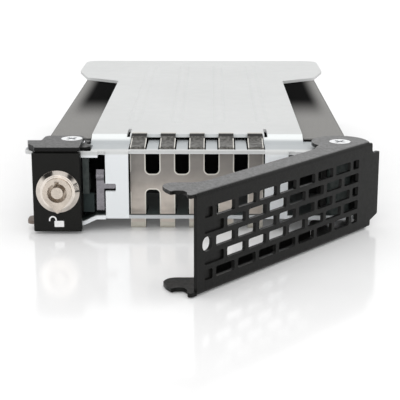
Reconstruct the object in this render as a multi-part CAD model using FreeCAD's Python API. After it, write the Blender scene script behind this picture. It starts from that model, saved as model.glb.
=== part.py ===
"""Hot-swap drive caddy for a 3.5-inch disk drive: a folded steel sled, a keyed lock
on the left and a perforated swing handle on the right.

Millimetres, +Z up.  The front bezel lies in the plane Y = 0, the caddy slides into its
bay along +Y, X = 0 is the middle of the bezel and Z = 0 is the underside of the rails.
"""
import FreeCAD, Part
import math
import os

V = FreeCAD.Vector

# ---------------------------------------------------------------- driving dimensions
# Drive that the sled carries (3.5-inch form factor)
DRIVE_WIDTH = 101.6
DRIVE_HEIGHT = 26.1
DRIVE_LENGTH = 147.0
DRIVE_SIDE_GAP = 0.5            # each side, to the rail wall
DRIVE_LIFT = 0.2                # above the rail lip, and below the rail top
DRIVE_START = 39.0              # front end of the drive behind the bezel plane
SIDE_HOLES_FROM_REAR = (28.5, 70.1, 130.1)
FLOOR_HOLES_FROM_REAR = (41.28, 85.73)
FLOOR_HOLES_ACROSS = 95.25
SIDE_HOLE_HEIGHT = 6.35         # above the underside of the drive
SIDE_HOLE_RADIUS = 1.9

# Sheet metal
SHEET = 1.2                     # steel sheet of sled, rails and handle
BEND = 0.6                      # inside radius of a fold
CORNER = 2.0                    # plain rounded corner of a blank

# Front
FRONT_WIDTH = 110.0             # bezel's left edge to handle's right edge
BEZEL_WIDTH = 16.2
BEZEL_LOW = 0.7                 # underside of the bezel above the rails' underside
BEZEL_HEIGHT = 27.3
BEZEL_THICKNESS = 2.4
EDGE_ROUND = 0.4                # moulded edges

# Sled heights and depths
LEDGE_TOP = 27.8                # ledge that the handle swings over
LOWER_LEDGE_TOP = 5.5           # plate that the handle's lower flange swings under
LEDGE_FRONT = 2.8
TAB_FRONT = 4.0                 # front face of the two front tabs
JOGGLE_START = 15.4             # where the ledge starts to rise to the deck
JOGGLE_END = 21.3
SLED_LENGTH = 202.0
RAIL_START = 20.0
WAIST_WIDTH = 73.4              # silver deck between the black rails
WAIST_ROUND = 1.6
FLARE_START = 138.5             # where the deck widens over the rails
FLARE_SLANT = 9.5
FLARE_BULGE = 20.0
FLARE_WIDTH = 114.0
FLARE_ROUND = 5.0

# Stiffening ribs
RIB_COUNT = 4
RIB_PITCH = 15.7
RIB_WIDTH = 4.6
RIB_HEIGHT = 0.6
RIB_START = 42.0
RIB_END = 184.0

# Grounding strip and its comb of slots
STRIP_SHEET = 0.4
STRIP_WIDTH = 45.4
STRIP_FRONT = 8.3
FINGER_COUNT = 5
FINGER_PITCH = 10.05
FINGER_WIDTH = 5.2
FINGER_SIDE_GAP = 0.5
FINGER_CREST = 30.6
FINGER_CREST_Y = 19.8
FINGER_KNEE = 28.8              # where a finger steepens
FINGER_KNEE_Y = 16.6
FINGER_TIP = 2.6                # tip beyond the crest
SLOT_WIDTH = 4.75
UPPER_SLOT_LOW = 18.9
LOWER_SLOT_HIGH = 13.4
STRIP_FACE_LOW = 5.0
SLOT_ROUND = 1.5
LOWER_FINGER_REACH = 6.0
LOWER_FINGER_LOW = -0.4
LOWER_FINGER_LEAN = 0.2
FINGER_STEP = 0.3               # finger's fold above the ledge
FINGER_BEND = 1.2
WINDOW_GAP = 0.35               # strip edge to front tab
RELIEF = 1.1                    # relief slit beside the comb
RELIEF_START = 19.5
RELIEF_END = 30.5

# Rivets, rails and lower frame
RIVET_RADIUS = 1.6
RIVET_WAIST_Y = (48.0, 90.0, 128.0)
RIVET_REAR = 12.0
RAIL_EDGE = 29.0                # inner edge of the rail's top flange
FLOOR_START = 24.0              # front edge of the tray's floor
RAIL_SHORT = 1.5                # rail ends this far before the deck's rear edge
FRAME_SIDE = 21.0               # top of the lower frame's upturned sides
FRAME_BACK = 34.0
FRAME_RIVETS = ((25.5, 10.5), (30.0, 17.0))
STEP_TOP = 3.4                  # left end of the lower plate, joggled down
STEP_START = -34.2
STEP_RUN = 4.4

# Ledge details
COMB_FRONT = 5.2
COMB_BAR = 1.6
COMB_BACK = 22.5
LIP_NOTCH = 2.4
LIP_DROP = 2.0
HATCH_RIGHT = -35.7             # opening for the lock bar
HATCH_BACK = 13.8
EAR_START = 3.6
EAR_END = 10.0
HINGE_CLEARANCE = 0.6          # ledge end to the inside of the opened handle
LOWER_SLOT_BACK = 17.0

# Front tabs
TAB_WIDTH = 7.8
TAB_SLOT_LOW = 13.8
TAB_SLOT_HIGH = 16.5
TAB_SLOT_DEPTH = 3.5

# Handle
HANDLE_SHEET = 1.2
HANDLE_OPEN = 50.4              # degrees from closed, as modelled
HANDLE_LOW = 0.1
HANDLE_HIGH = 30.4
HANDLE_FACE = -0.3              # outer face of the closed handle
HANDLE_GAP = 2.6                # closed handle's free edge to bezel
EAR_GAP = 0.2                   # hooked ears to bezel
HANDLE_BEND = 0.2
HANDLE_FLANGE = 7.7
EAR_TIP = 14.3                  # depth of the hooked ear behind the bezel plane
PIVOT_X = 48.4
PIVOT_Y = 8.1
LOBE_RADIUS = 9.6
HANDLE_EDGE = 0.8
HANDLE_LIP = 3.5                # top of the lower flange's turned-up edge
HANDLE_LIP_SPAN = (-20.0, 30.0)
HANDLE_LIP_RUN = 3.0
HANDLE_TAB = 4.5                # lever tab beyond the hinge end
HANDLE_TAB_LOW = 3.7
HANDLE_TAB_HIGH = 26.4

# Grille of the handle
GRILLE_ROWS = 5
GRILLE_COLUMNS = 8
GRILLE_PITCH = 10.25
GRILLE_ROW_PITCH = 4.65
GRILLE_LAST = 43.3              # centre of the last hole in the even rows
GRILLE_MIDDLE = 14.75
HOLE_WIDTH = 8.6
HOLE_HEIGHT = 3.1
HOLE_ROUND = 0.6
HALF_HOLE_WIDTH = 3.5
BLIND_DEPTH = 0.7               # cells beside the latch are only sunk
LATCH_HOLE = (4.4, 4.4)         # oval at the free edge

# Pivot and cover screws
SCREW_HEAD = 3.6                # radius
SCREW_SHANK = 1.9               # radius
SHANK_GAP = 0.05                # running clearance on the radius
HEAD_GAP = 0.25
SCREW_CONE = 1.5
SCREW_LENGTH = 9.0              # pivot screws
POST_RADIUS = 4.0
WASHER_RADIUS = 4.6
WASHER_BORE = 2.5
WASHER_GAP = 0.04
CROSS_LENGTH = 4.2
CROSS_WIDTH = 1.1
CROSS_DEPTH = 1.2

# Left cover
COVER_TOP = 29.9
COVER_BACK = 19.2
COVER_SCREW_X = -43.1
COVER_SCREW_Y = 14.6
COVER_SCREW_LENGTH = 8.0
GUIDE_REACH = 57.9              # side ears of cover and sled

# Lock
LOCK_X = -46.5
LOCK_Z = 14.8
RING_RADIUS = 7.35
RING_EDGE = 0.4                 # upright rim of the conical ring
RING_CREST = 1.3                # height of the ring's inner land
CREST_RADIUS = 5.9
BARREL_RADIUS = 5.0
BARREL_LENGTH = 15.0
BARREL_FLAT = 4.4
PLUG_RADIUS = 3.9
ROTOR_RADIUS = 4.9
POINTER_REACH = 7.0
POINTER_TIP = 0.7
KEY_GROOVE_OUTER = 3.3
KEY_GROOVE_INNER = 2.0
KEY_DEPTH = 6.0
LOCK_TURN_GAP = 0.05
CAM_RADIUS = 4.4
CAM_THICKNESS = 1.2
CAM_PIN = 0.8
LOCK_TRAVEL = 4.5               # rise of the lock bar in a quarter turn
HOUSING_SETBACK = 0.8
HOUSING_BACK = 18.4
WALL = 1.6
CAVITY_HALF = 6.6
LOWER_SCREW_Y = 11.0
LOWER_SCREW_LENGTH = 5.0
LIP_THICKNESS = 0.4
FACE_THICKNESS = 0.75
CLIP_FRONT = 4.0
CLIP_SHEET = 1.0
CLIP_GRIP = 3.95
CLIP_LEG = 1.4
PLUG_BACK = 15.4
PIN_REACH = 1.7
CAM_SCREW_RADIUS = 0.6
CAM_SCREW_HEAD = 1.1
CAM_SCREW_CONE = 0.6
CAM_SCREW_LENGTH = 5.0
ARM_HALF = 2.2
ARM_REACH = 5.6
ARM_SLOT_PLAY = 0.3
LEAF_TOP = 4.4                  # leaf above the middle of the arm's slot

# Lock bar
BAR_LEFT = -38.5
BAR_RIGHT = -36.4
BAR_FRONT = 4.3
BAR_BACK = 5.7
BAR_LOW = 12.9
BAR_TOP = 26.2

# Kick spring
SPRING_SHEET = 0.8
SPRING_LEFT = -34.1
SPRING_RIGHT = -31.5
SPRING_FRONT = 6.0
SPRING_TOP = 20.9
SPRING_BUMP = 0.9
SPRING_FOOT = 13.0
SPRING_RIVET_X = -32.8
SPRING_RIVET_Y = 10.4
SPRING_RIVET_RADIUS = 0.9

# Guide lug in front of the lock bar's foot
STOP_RIGHT = -35.0
STOP_FRONT = 6.2
STOP_LOW = 6.0
STOP_HIGH = 12.5

# Hinge block round the back of the pivot post
BLOCK_LEFT = 42.0
BLOCK_RIGHT = 54.6
BLOCK_FRONT = 7.5
BLOCK_BEND = 13.0
BLOCK_BACK = 19.2

TOUCH = 0.3                     # clearance between parts that pass each other

# ---------------------------------------------------------------- derived sizes
HALF_FRONT = FRONT_WIDTH / 2
LIP_TOP = SHEET
DRIVE_LOW = LIP_TOP + DRIVE_LIFT
DRIVE_TOP = DRIVE_LOW + DRIVE_HEIGHT
RAIL_TOP = DRIVE_TOP + DRIVE_LIFT + SHEET
DECK_TOP = RAIL_TOP + SHEET
RAIL_INNER = DRIVE_WIDTH / 2 + DRIVE_SIDE_GAP
RAIL_OUTER = RAIL_INNER + SHEET
HALF_WAIST = WAIST_WIDTH / 2
BEZEL_RIGHT = -HALF_FRONT + BEZEL_WIDTH
BEZEL_TOP = BEZEL_LOW + BEZEL_HEIGHT
HANDLE_FREE = BEZEL_RIGHT + HANDLE_GAP
STRIP_TOP = LEDGE_TOP - SHEET
TAB_INNER = STRIP_WIDTH / 2 + WINDOW_GAP
TAB_OUTER = TAB_INNER + TAB_WIDTH
LEDGE_LOW = LEDGE_TOP - SHEET
LOWER_LEDGE_LOW = LOWER_LEDGE_TOP - SHEET
COVER_LOW = COVER_TOP - SHEET
HANDLE_TOP_LOW = HANDLE_HIGH - HANDLE_SHEET
HANDLE_BOTTOM_HIGH = HANDLE_LOW + HANDLE_SHEET
SIDE_HOLE_Z = DRIVE_LOW + SIDE_HOLE_HEIGHT
FLOOR_HOLE_X = FLOOR_HOLES_ACROSS / 2
FLOOR_HOLE_Y = [DRIVE_START + DRIVE_LENGTH - back for back in FLOOR_HOLES_FROM_REAR]
SIDE_HOLE_Y = [DRIVE_START + DRIVE_LENGTH - back for back in SIDE_HOLES_FROM_REAR]
FINGER_X = [(i - (FINGER_COUNT - 1) / 2) * FINGER_PITCH for i in range(FINGER_COUNT)]
SLOT_X = [(a + b) / 2 for a, b in zip(FINGER_X, FINGER_X[1:])]
RIB_X = [(i - (RIB_COUNT - 1) / 2) * RIB_PITCH for i in range(RIB_COUNT)]


# ---------------------------------------------------------------- shape helpers
def box(x0, x1, y0, y1, z0, z1):
    """A block between two opposite corners, given axis by axis."""
    return Part.makeBox(x1 - x0, y1 - y0, z1 - z0, V(x0, y0, z0))


def rod(x, y, z, radius, length, axis=V(0, 0, 1)):
    """A cylinder that starts at (x, y, z) and runs along axis."""
    return Part.makeCylinder(radius, length, V(x, y, z), axis)


def rounded_wire(corners):
    """A closed wire in the XY plane through (x, y, radius) corners, each one rounded."""
    count = len(corners)
    edges = []
    starts = []
    ends = []
    middles = []
    for i, (x, y, radius) in enumerate(corners):
        here = V(x, y, 0)
        back = V(*corners[i - 1][:2], 0) - here
        ahead = V(*corners[(i + 1) % count][:2], 0) - here
        back.normalize()
        ahead.normalize()
        angle = back.getAngle(ahead)
        if radius <= 0 or abs(angle - math.pi) < 1e-6:
            starts.append(here)
            ends.append(here)
            middles.append(None)
            continue
        run = radius / math.tan(angle / 2)
        inward = (back + ahead).normalize()
        centre = here + inward * (radius / math.sin(angle / 2))
        starts.append(here + back * run)
        ends.append(here + ahead * run)
        middles.append(centre - inward * radius)
    for i in range(count):
        if middles[i] is not None:
            edges.append(Part.Arc(starts[i], middles[i], ends[i]).toShape())
        following = starts[(i + 1) % count]
        if ends[i].distanceToPoint(following) > 1e-7:
            edges.append(Part.makeLine(ends[i], following))
    return Part.Wire(edges)


def plate(corners, z0, z1):
    """A flat blank: an outline of (x, y, radius) corners between two heights."""
    face = Part.Face(rounded_wire(corners))
    face.translate(V(0, 0, z0))
    return face.extrude(V(0, 0, z1 - z0))


def cross_plate(corners, y0, y1):
    """An upright blank across the caddy: an outline in (x, z) between two depths."""
    face = Part.Face(rounded_wire(corners))
    face.rotate(V(0, 0, 0), V(1, 0, 0), 90)
    face.translate(V(0, y0, 0))
    return face.extrude(V(0, y1 - y0, 0))


def side_profile(corners, x0, x1):
    """A long section across the width: an outline in (y, z) between two x places."""
    face = Part.Face(rounded_wire(corners))
    face.rotate(V(0, 0, 0), V(1, 1, 1), 120)
    face.translate(V(x0, 0, 0))
    return face.extrude(V(x1 - x0, 0, 0))


def folded(path, thickness, inside_radius):
    """The closed outline of a folded sheet: path is its left-hand surface.

    The other surface lies a sheet's thickness to the right of the path.  Each fold
    is rounded, with the outer radius a sheet's thickness larger than the inner one.
    inside_radius is one number, or one number for each fold.
    """
    if isinstance(inside_radius, (int, float)):
        inside_radius = [inside_radius] * (len(path) - 2)
    normals = []
    for (ax, ay), (bx, by) in zip(path, path[1:]):
        length = math.hypot(bx - ax, by - ay)
        normals.append(((by - ay) / length, -(bx - ax) / length))
    near = []
    far = []
    last = len(path) - 1
    for i, (x, y) in enumerate(path):
        before = normals[max(i - 1, 0)]
        after = normals[min(i, last - 1)]
        turn = before[0] * after[1] - before[1] * after[0]
        scale = thickness / (1 + before[0] * after[0] + before[1] * after[1])
        offset = ((before[0] + after[0]) * scale, (before[1] + after[1]) * scale)
        near_radius = 0
        far_radius = 0
        if 0 < i < last:
            inner = inside_radius[i - 1]
            outer = inner + thickness
            near_radius = inner if turn > 0 else outer
            far_radius = outer if turn > 0 else inner
        near.append((x, y, near_radius))
        far.append((x + offset[0], y + offset[1], far_radius))
    return near + far[::-1]


def fuse(shapes):
    """One solid from shapes that touch or overlap."""
    whole = shapes[0].fuse(shapes[1:]) if len(shapes) > 1 else shapes[0]
    return whole.removeSplitter()


def group(solids):
    """Separate like solids that share one node."""
    return Part.makeCompound(solids)


def mirrored(shape):
    """The same shape on the other side of the middle plane."""
    return shape.mirror(V(0, 0, 0), V(1, 0, 0))


def arc_points(centre, radius, start, end, steps):
    """Points on an arc, in degrees, both ends included."""
    points = []
    for i in range(steps + 1):
        angle = math.radians(start + (end - start) * i / steps)
        points.append((centre[0] + radius * math.cos(angle),
                       centre[1] + radius * math.sin(angle)))
    return points


def countersunk_screw(x, y, z_top, length, upward=False):
    """A flat-headed cross-recess screw with its head's face at z_top."""
    half = V(SCREW_HEAD, 0, 0)
    outline = Part.makePolygon([
        V(0, 0, 0), half, V(SCREW_SHANK, 0, -SCREW_CONE),
        V(SCREW_SHANK, 0, -length), V(0, 0, -length), V(0, 0, 0)])
    screw = Part.Face(outline).revolve(V(0, 0, 0), V(0, 0, 1), 360)
    for turn in (0, 90):
        slot = box(-CROSS_LENGTH / 2, CROSS_LENGTH / 2, -CROSS_WIDTH / 2, CROSS_WIDTH / 2,
                   -CROSS_DEPTH, 1)
        slot.rotate(V(0, 0, 0), V(0, 0, 1), turn + 45)
        screw = screw.cut(slot)
    if upward:
        screw.rotate(V(0, 0, 0), V(1, 0, 0), 180)
    screw.translate(V(x, y, z_top))
    return screw


def countersink(x, y, z_top, shank_radius, gap, upward=False):
    """The hole that a flat-headed screw sits in, with a gap round its head."""
    reach = 4 * SHEET
    head = SCREW_HEAD + gap
    drop = SCREW_CONE * (head - shank_radius) / (SCREW_HEAD - SCREW_SHANK)
    outline = Part.makePolygon([
        V(0, 0, 1), V(head, 0, 1), V(head, 0, 0), V(shank_radius, 0, -drop),
        V(shank_radius, 0, -reach), V(0, 0, -reach), V(0, 0, 1)])
    hole = Part.Face(outline).revolve(V(0, 0, 0), V(0, 0, 1), 360)
    if upward:
        hole.rotate(V(0, 0, 0), V(1, 0, 0), 180)
    hole.translate(V(x, y, z_top))
    return hole


# ---------------------------------------------------------------- sled
def rivet_places():
    """Flush rivets that hold one rail to the deck, on the right-hand side."""
    waist = (HALF_WAIST + RAIL_EDGE) / 2
    flare = (HALF_WAIST + RAIL_OUTER) / 2
    rear = SLED_LENGTH - RIVET_REAR
    return [(waist, y) for y in RIVET_WAIST_Y] + [(flare, rear)]


def ledge_outline(side_reach):
    """Right-hand end of a ledge or of the lower plate, rounded about the pivot."""
    reach = PIVOT_X + PIVOT_Y - HANDLE_FACE - HANDLE_SHEET - HINGE_CLEARANCE
    low_round = PIVOT_Y - LEDGE_FRONT - 0.1
    back = PIVOT_Y + low_round
    return [(side_reach, LEDGE_FRONT, 0), (reach, LEDGE_FRONT, low_round),
            (reach, back, low_round - 1), (RAIL_OUTER, back, 0),
            (RAIL_OUTER, RAIL_START - TOUCH, CORNER),
            (side_reach, RAIL_START - TOUCH, 0)]


def ear_outline(side_reach):
    """Left-hand end of a ledge or of the lower plate, with its guide ear."""
    shoulder = HALF_FRONT - 1
    return [(-side_reach, LEDGE_FRONT, 0), (-shoulder, LEDGE_FRONT, 0.5),
            (-shoulder, EAR_START, 0.5), (-GUIDE_REACH, EAR_START + 1, CORNER),
            (-GUIDE_REACH, EAR_END, CORNER), (-RAIL_OUTER, EAR_END + 4, 1),
            (-RAIL_OUTER, RAIL_START - TOUCH, CORNER),
            (-side_reach, RAIL_START - TOUCH, 0)]


def rib(x):
    """A long bead pressed up in the deck: its outside and its inside."""
    radius = RIB_WIDTH ** 2 / (8 * RIB_HEIGHT) + RIB_HEIGHT / 2
    z = DECK_TOP + RIB_HEIGHT - radius
    first = RIB_START + RIB_WIDTH / 2
    last = RIB_END - RIB_WIDTH / 2
    shapes = []
    for size in (radius, radius - SHEET):
        bar = rod(x, first, z, size, last - first, V(0, 1, 0))
        ends = [Part.makeSphere(size, V(x, y, z)) for y in (first, last)]
        shapes.append(bar.fuse(ends).removeSplitter())
    top, hollow = shapes
    slab = box(x - RIB_WIDTH, x + RIB_WIDTH, RIB_START - 5, RIB_END + 5,
               RAIL_TOP - 1, DECK_TOP + 1)
    above = slab.cut(box(x - RIB_WIDTH, x + RIB_WIDTH, RIB_START - 5, RIB_END + 5,
                         RAIL_TOP - 2, RAIL_TOP + SHEET / 2))
    return top.common(above), hollow.common(slab)


def chassis_deck():
    """The galvanised top sheet: tabs, ledge, joggle, ribbed deck and rear flare."""
    slanted = FLARE_START + FLARE_SLANT
    bulged = slanted + FLARE_BULGE
    half_flare = FLARE_WIDTH / 2
    right = [(HALF_WAIST, JOGGLE_END, 0), (HALF_WAIST, FLARE_START, WAIST_ROUND),
             (RAIL_OUTER - 1, slanted, CORNER), (half_flare, bulged, 3 * FLARE_ROUND),
             (half_flare, SLED_LENGTH, 1.2 * FLARE_ROUND)]
    left = [(-x, y, radius) for x, y, radius in reversed(right)]
    parts = [plate(right + left, RAIL_TOP, DECK_TOP)]

    rise = [(JOGGLE_START, LEDGE_TOP), (JOGGLE_END, DECK_TOP),
            (JOGGLE_END + 3, DECK_TOP)]
    tab = [(TAB_FRONT, LOWER_LEDGE_LOW), (TAB_FRONT, LEDGE_TOP)] + rise
    shelf = [(LEDGE_FRONT, LEDGE_TOP)] + rise
    tab_shape = side_profile(folded(tab, SHEET, BEND), TAB_INNER, TAB_OUTER)
    shelf_shape = side_profile(folded(shelf, SHEET, BEND), TAB_OUTER, HALF_WAIST)
    for shape in (tab_shape, shelf_shape):
        parts += [shape, mirrored(shape)]
    parts.append(plate(ledge_outline(HALF_WAIST), LEDGE_LOW, LEDGE_TOP))
    parts.append(plate(ear_outline(HALF_WAIST), LEDGE_LOW, LEDGE_TOP))

    # bar and comb of tongues between the tabs
    parts.append(box(-TAB_INNER, TAB_INNER, COMB_FRONT, COMB_BACK, LEDGE_LOW, LEDGE_TOP))
    # lip below the ledge's front edge, between bezel and left tab
    parts.append(box(BEZEL_RIGHT, -TAB_OUTER - LIP_NOTCH, LEDGE_FRONT,
                     LEDGE_FRONT + SHEET, LEDGE_TOP - LIP_DROP, LEDGE_LOW))
    sheet = fuse(parts)

    cuts = []
    slot = FINGER_WIDTH / 2 + FINGER_SIDE_GAP
    for x in FINGER_X:
        cuts.append(box(x - slot, x + slot, COMB_FRONT + COMB_BAR, COMB_BACK + 1,
                        LEDGE_LOW - 1, LEDGE_TOP + 0.1))
    cuts.append(box(-TAB_INNER, TAB_INNER, COMB_FRONT, COMB_BACK + 1,
                    LEDGE_TOP, RAIL_TOP + 0.01))
    for side in (-1, 1):
        inner = side * (TAB_INNER + RELIEF / 2 + WINDOW_GAP)
        cuts.append(box(inner - RELIEF / 2, inner + RELIEF / 2, RELIEF_START,
                        RELIEF_END - RELIEF / 2, LEDGE_LOW - 1, DECK_TOP + 1))
        cuts.append(rod(inner, RELIEF_END - RELIEF / 2, LEDGE_LOW - 1, RELIEF / 2, 6))
        notch_x = side * (TAB_OUTER + LIP_NOTCH / 2)
        cuts.append(rod(notch_x, LEDGE_FRONT, LEDGE_LOW - 1, LIP_NOTCH / 2, 3))
        cuts.append(box(notch_x - LIP_NOTCH / 2, notch_x + LIP_NOTCH / 2,
                        LEDGE_FRONT - 1, LEDGE_FRONT, LEDGE_LOW - 3, LEDGE_TOP + 1))
        for x, y in rivet_places():
            cuts.append(rod(side * x, y, RAIL_TOP - 1, RIVET_RADIUS, 4))
    cuts.append(cross_plate(
        [(-TAB_OUTER - 1, TAB_SLOT_LOW, 0), (-TAB_OUTER + TAB_SLOT_DEPTH, TAB_SLOT_LOW, 0.5),
         (-TAB_OUTER + TAB_SLOT_DEPTH, TAB_SLOT_HIGH, 0.5),
         (-TAB_OUTER - 1, TAB_SLOT_HIGH, 0)], TAB_FRONT - 1, TAB_FRONT + 2))
    cuts.append(plate(
        [(BEZEL_RIGHT - 1, LEDGE_FRONT + SHEET, 0), (HATCH_RIGHT, LEDGE_FRONT + SHEET, 0.5),
         (HATCH_RIGHT, HATCH_BACK, 1), (BEZEL_RIGHT - 1, HATCH_BACK, 1)],
        LEDGE_LOW - 3, LEDGE_TOP + 1))
    cuts.append(rod(PIVOT_X, PIVOT_Y, LEDGE_LOW - 1, SCREW_SHANK, 4))
    cuts.append(rod(COVER_SCREW_X, COVER_SCREW_Y, LEDGE_LOW - 1, SCREW_SHANK, 4))
    for x in RIB_X:
        top, hollow = rib(x)
        sheet = sheet.fuse(top)
        cuts.append(hollow)
    return sheet.cut(cuts).removeSplitter()


def bottom_frame():
    """The lower cross plate: ties both rails, carries the lock and the lower pivot."""
    wall = [(RAIL_INNER, FRAME_SIDE), (RAIL_INNER, LOWER_LEDGE_LOW),
            (-RAIL_INNER, LOWER_LEDGE_LOW), (-RAIL_INNER, FRAME_SIDE)]
    parts = [cross_plate(folded(wall, SHEET, BEND), RAIL_START + 1, FRAME_BACK)]
    middle = [(HALF_WAIST, LEDGE_FRONT, 0), (HALF_WAIST, RAIL_START + 2, 0),
              (-TAB_OUTER, RAIL_START + 2, 0), (-TAB_OUTER, LEDGE_FRONT, 0)]
    for outline in (middle, ledge_outline(HALF_WAIST)):
        parts.append(plate(outline, LOWER_LEDGE_LOW, LOWER_LEDGE_TOP))
    # left end, joggled down to carry the lock housing
    step = [(-TAB_OUTER, LOWER_LEDGE_TOP), (STEP_START, LOWER_LEDGE_TOP),
            (STEP_START - STEP_RUN, STEP_TOP), (-GUIDE_REACH, STEP_TOP)]
    left_end = cross_plate(folded(step[::-1], SHEET, CORNER), LEDGE_FRONT, RAIL_START)
    parts.append(left_end.common(plate(ear_outline(TAB_OUTER), 0, LEDGE_LOW)))
    frame = fuse(parts)
    cuts = []
    for side in (-1, 1):
        low, high = sorted((side * TAB_INNER, side * TAB_OUTER))
        cuts.append(box(low, high, LEDGE_FRONT - 1, TAB_FRONT + SHEET,
                        LOWER_LEDGE_LOW - 1, LOWER_LEDGE_TOP + 1))
        for y, z in FRAME_RIVETS:
            cuts.append(rod(side * RAIL_OUTER, y, z, RIVET_RADIUS, 2 * SHEET,
                            V(-side, 0, 0)))
    cuts.append(box(-TAB_INNER, TAB_INNER, LEDGE_FRONT - 1, TAB_FRONT,
                    LOWER_LEDGE_LOW - 1, LOWER_LEDGE_TOP + 1))
    slot = FINGER_WIDTH / 2 + FINGER_SIDE_GAP
    for x in FINGER_X:
        cuts.append(box(x - slot, x + slot, TAB_FRONT + COMB_BAR, LOWER_SLOT_BACK,
                        LOWER_LEDGE_LOW - 1, LOWER_LEDGE_TOP + 1))
    cuts.append(rod(PIVOT_X, PIVOT_Y, LOWER_LEDGE_LOW - 1, SCREW_SHANK, 4))
    cuts.append(countersink(COVER_SCREW_X, LOWER_SCREW_Y, STEP_TOP - SHEET, SCREW_SHANK,
                            0, upward=True))
    cuts.append(rod(SPRING_RIVET_X, SPRING_RIVET_Y, LOWER_LEDGE_LOW - 1,
                    SPRING_RIVET_RADIUS, 4))
    return frame.cut(cuts).removeSplitter()


def tray():
    """The black folded tray: floor, side walls and the flanges under the deck."""
    section = [(-RAIL_EDGE, RAIL_TOP), (-RAIL_OUTER, RAIL_TOP), (-RAIL_OUTER, 0),
               (RAIL_OUTER, 0), (RAIL_OUTER, RAIL_TOP), (RAIL_EDGE, RAIL_TOP)]
    section.reverse()
    channel = cross_plate(folded(section, SHEET, BEND), RAIL_START, SLED_LENGTH - RAIL_SHORT)
    cuts = [box(-RAIL_OUTER - 1, RAIL_OUTER + 1, RAIL_START - 1, FLOOR_START, -1, SHEET + 0.01)]
    for side in (-1, 1):
        low, high = sorted((side * (RAIL_EDGE - 1), side * (HALF_WAIST + TOUCH)))
        cuts.append(box(low, high, RAIL_START - 1, JOGGLE_END + 2, RAIL_TOP - 2, RAIL_TOP + 1))
        for y in SIDE_HOLE_Y:
            cuts.append(rod(side * (RAIL_INNER - 1), y, SIDE_HOLE_Z, SIDE_HOLE_RADIUS, 4,
                            V(side, 0, 0)))
        for y in FLOOR_HOLE_Y:
            cuts.append(rod(side * FLOOR_HOLE_X, y, -1, SIDE_HOLE_RADIUS, 4))
        for x, y in rivet_places():
            cuts.append(rod(side * x, y, RAIL_TOP - 3, RIVET_RADIUS, 4))
        for y, z in FRAME_RIVETS:
            cuts.append(rod(side * (RAIL_OUTER + 1), y, z, RIVET_RADIUS, 4, V(-side, 0, 0)))
    return channel.cut(cuts)


def right_rivets():
    """Flush rivets of one side: to the deck above and to the lower frame inside."""
    rivets = []
    for x, y in rivet_places():
        rivets.append(rod(x, y, RAIL_TOP - SHEET, RIVET_RADIUS, 2 * SHEET))
    for y, z in FRAME_RIVETS:
        rivets.append(rod(RAIL_OUTER, y, z, RIVET_RADIUS, 2 * SHEET, V(-1, 0, 0)))
    return group(rivets)


# ---------------------------------------------------------------- left cover and lock
def left_cover():
    """The black top plate over the lock, with a guide wing on its outer side."""
    back = COVER_BACK
    outline = [(-HALF_FRONT + 1, 0, 0.5), (-HALF_FRONT + 0.4, EAR_START - 1, 0.3),
               (-GUIDE_REACH + 1.2, EAR_START + 2.1, 0.3), (-GUIDE_REACH, EAR_END + 1.5, 0.4),
               (-RAIL_OUTER - 0.6, EAR_END + 1.6, 0.5), (-RAIL_OUTER, back, CORNER),
               (BEZEL_RIGHT - 1.6, back, 0.8), (BEZEL_RIGHT - TOUCH, back - 1.6, 0.5),
               (BEZEL_RIGHT - TOUCH, 0, 0.5)]
    cover = plate(outline, COVER_LOW, COVER_TOP)
    # lower leaf with two teeth, which the handle's ear passes over
    front = BAR_BACK + SHANK_GAP
    tooth = HATCH_RIGHT - 0.3
    leaf = [(BEZEL_RIGHT - 1.5, front, 0), (BEZEL_RIGHT + 1.4, front, 0.2),
            (tooth, front + 1.6, 0.3), (tooth, front + 4.2, 0.3),
            (BEZEL_RIGHT + 0.6, front + 6.8, 0.2), (tooth - 0.7, front + 10, 0.3),
            (tooth - 0.9, front + 11.2, 0.3), (BEZEL_RIGHT - 1.5, back - 0.4, 0)]
    seat = rod(COVER_SCREW_X, COVER_SCREW_Y, LEDGE_TOP - 1, WASHER_RADIUS + TOUCH, SHEET + 2)
    cover = fuse([cover, plate(leaf, LEDGE_TOP, COVER_LOW).cut(seat)])
    wing = [(-HALF_FRONT + 0.4, EAR_START - 1, 0), (-GUIDE_REACH + 1.2, EAR_START + 2.1, 0),
            (-GUIDE_REACH, EAR_END + 1.5, 0.4), (-GUIDE_REACH + SHEET, EAR_END + 1.5, 0),
            (-GUIDE_REACH + SHEET + 1.1, EAR_START + 2.6, 0)]
    cover = fuse([cover, plate(wing, LEDGE_TOP, COVER_LOW)])
    return cover.cut(countersink(COVER_SCREW_X, COVER_SCREW_Y, COVER_TOP, SCREW_SHANK, 0))


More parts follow.
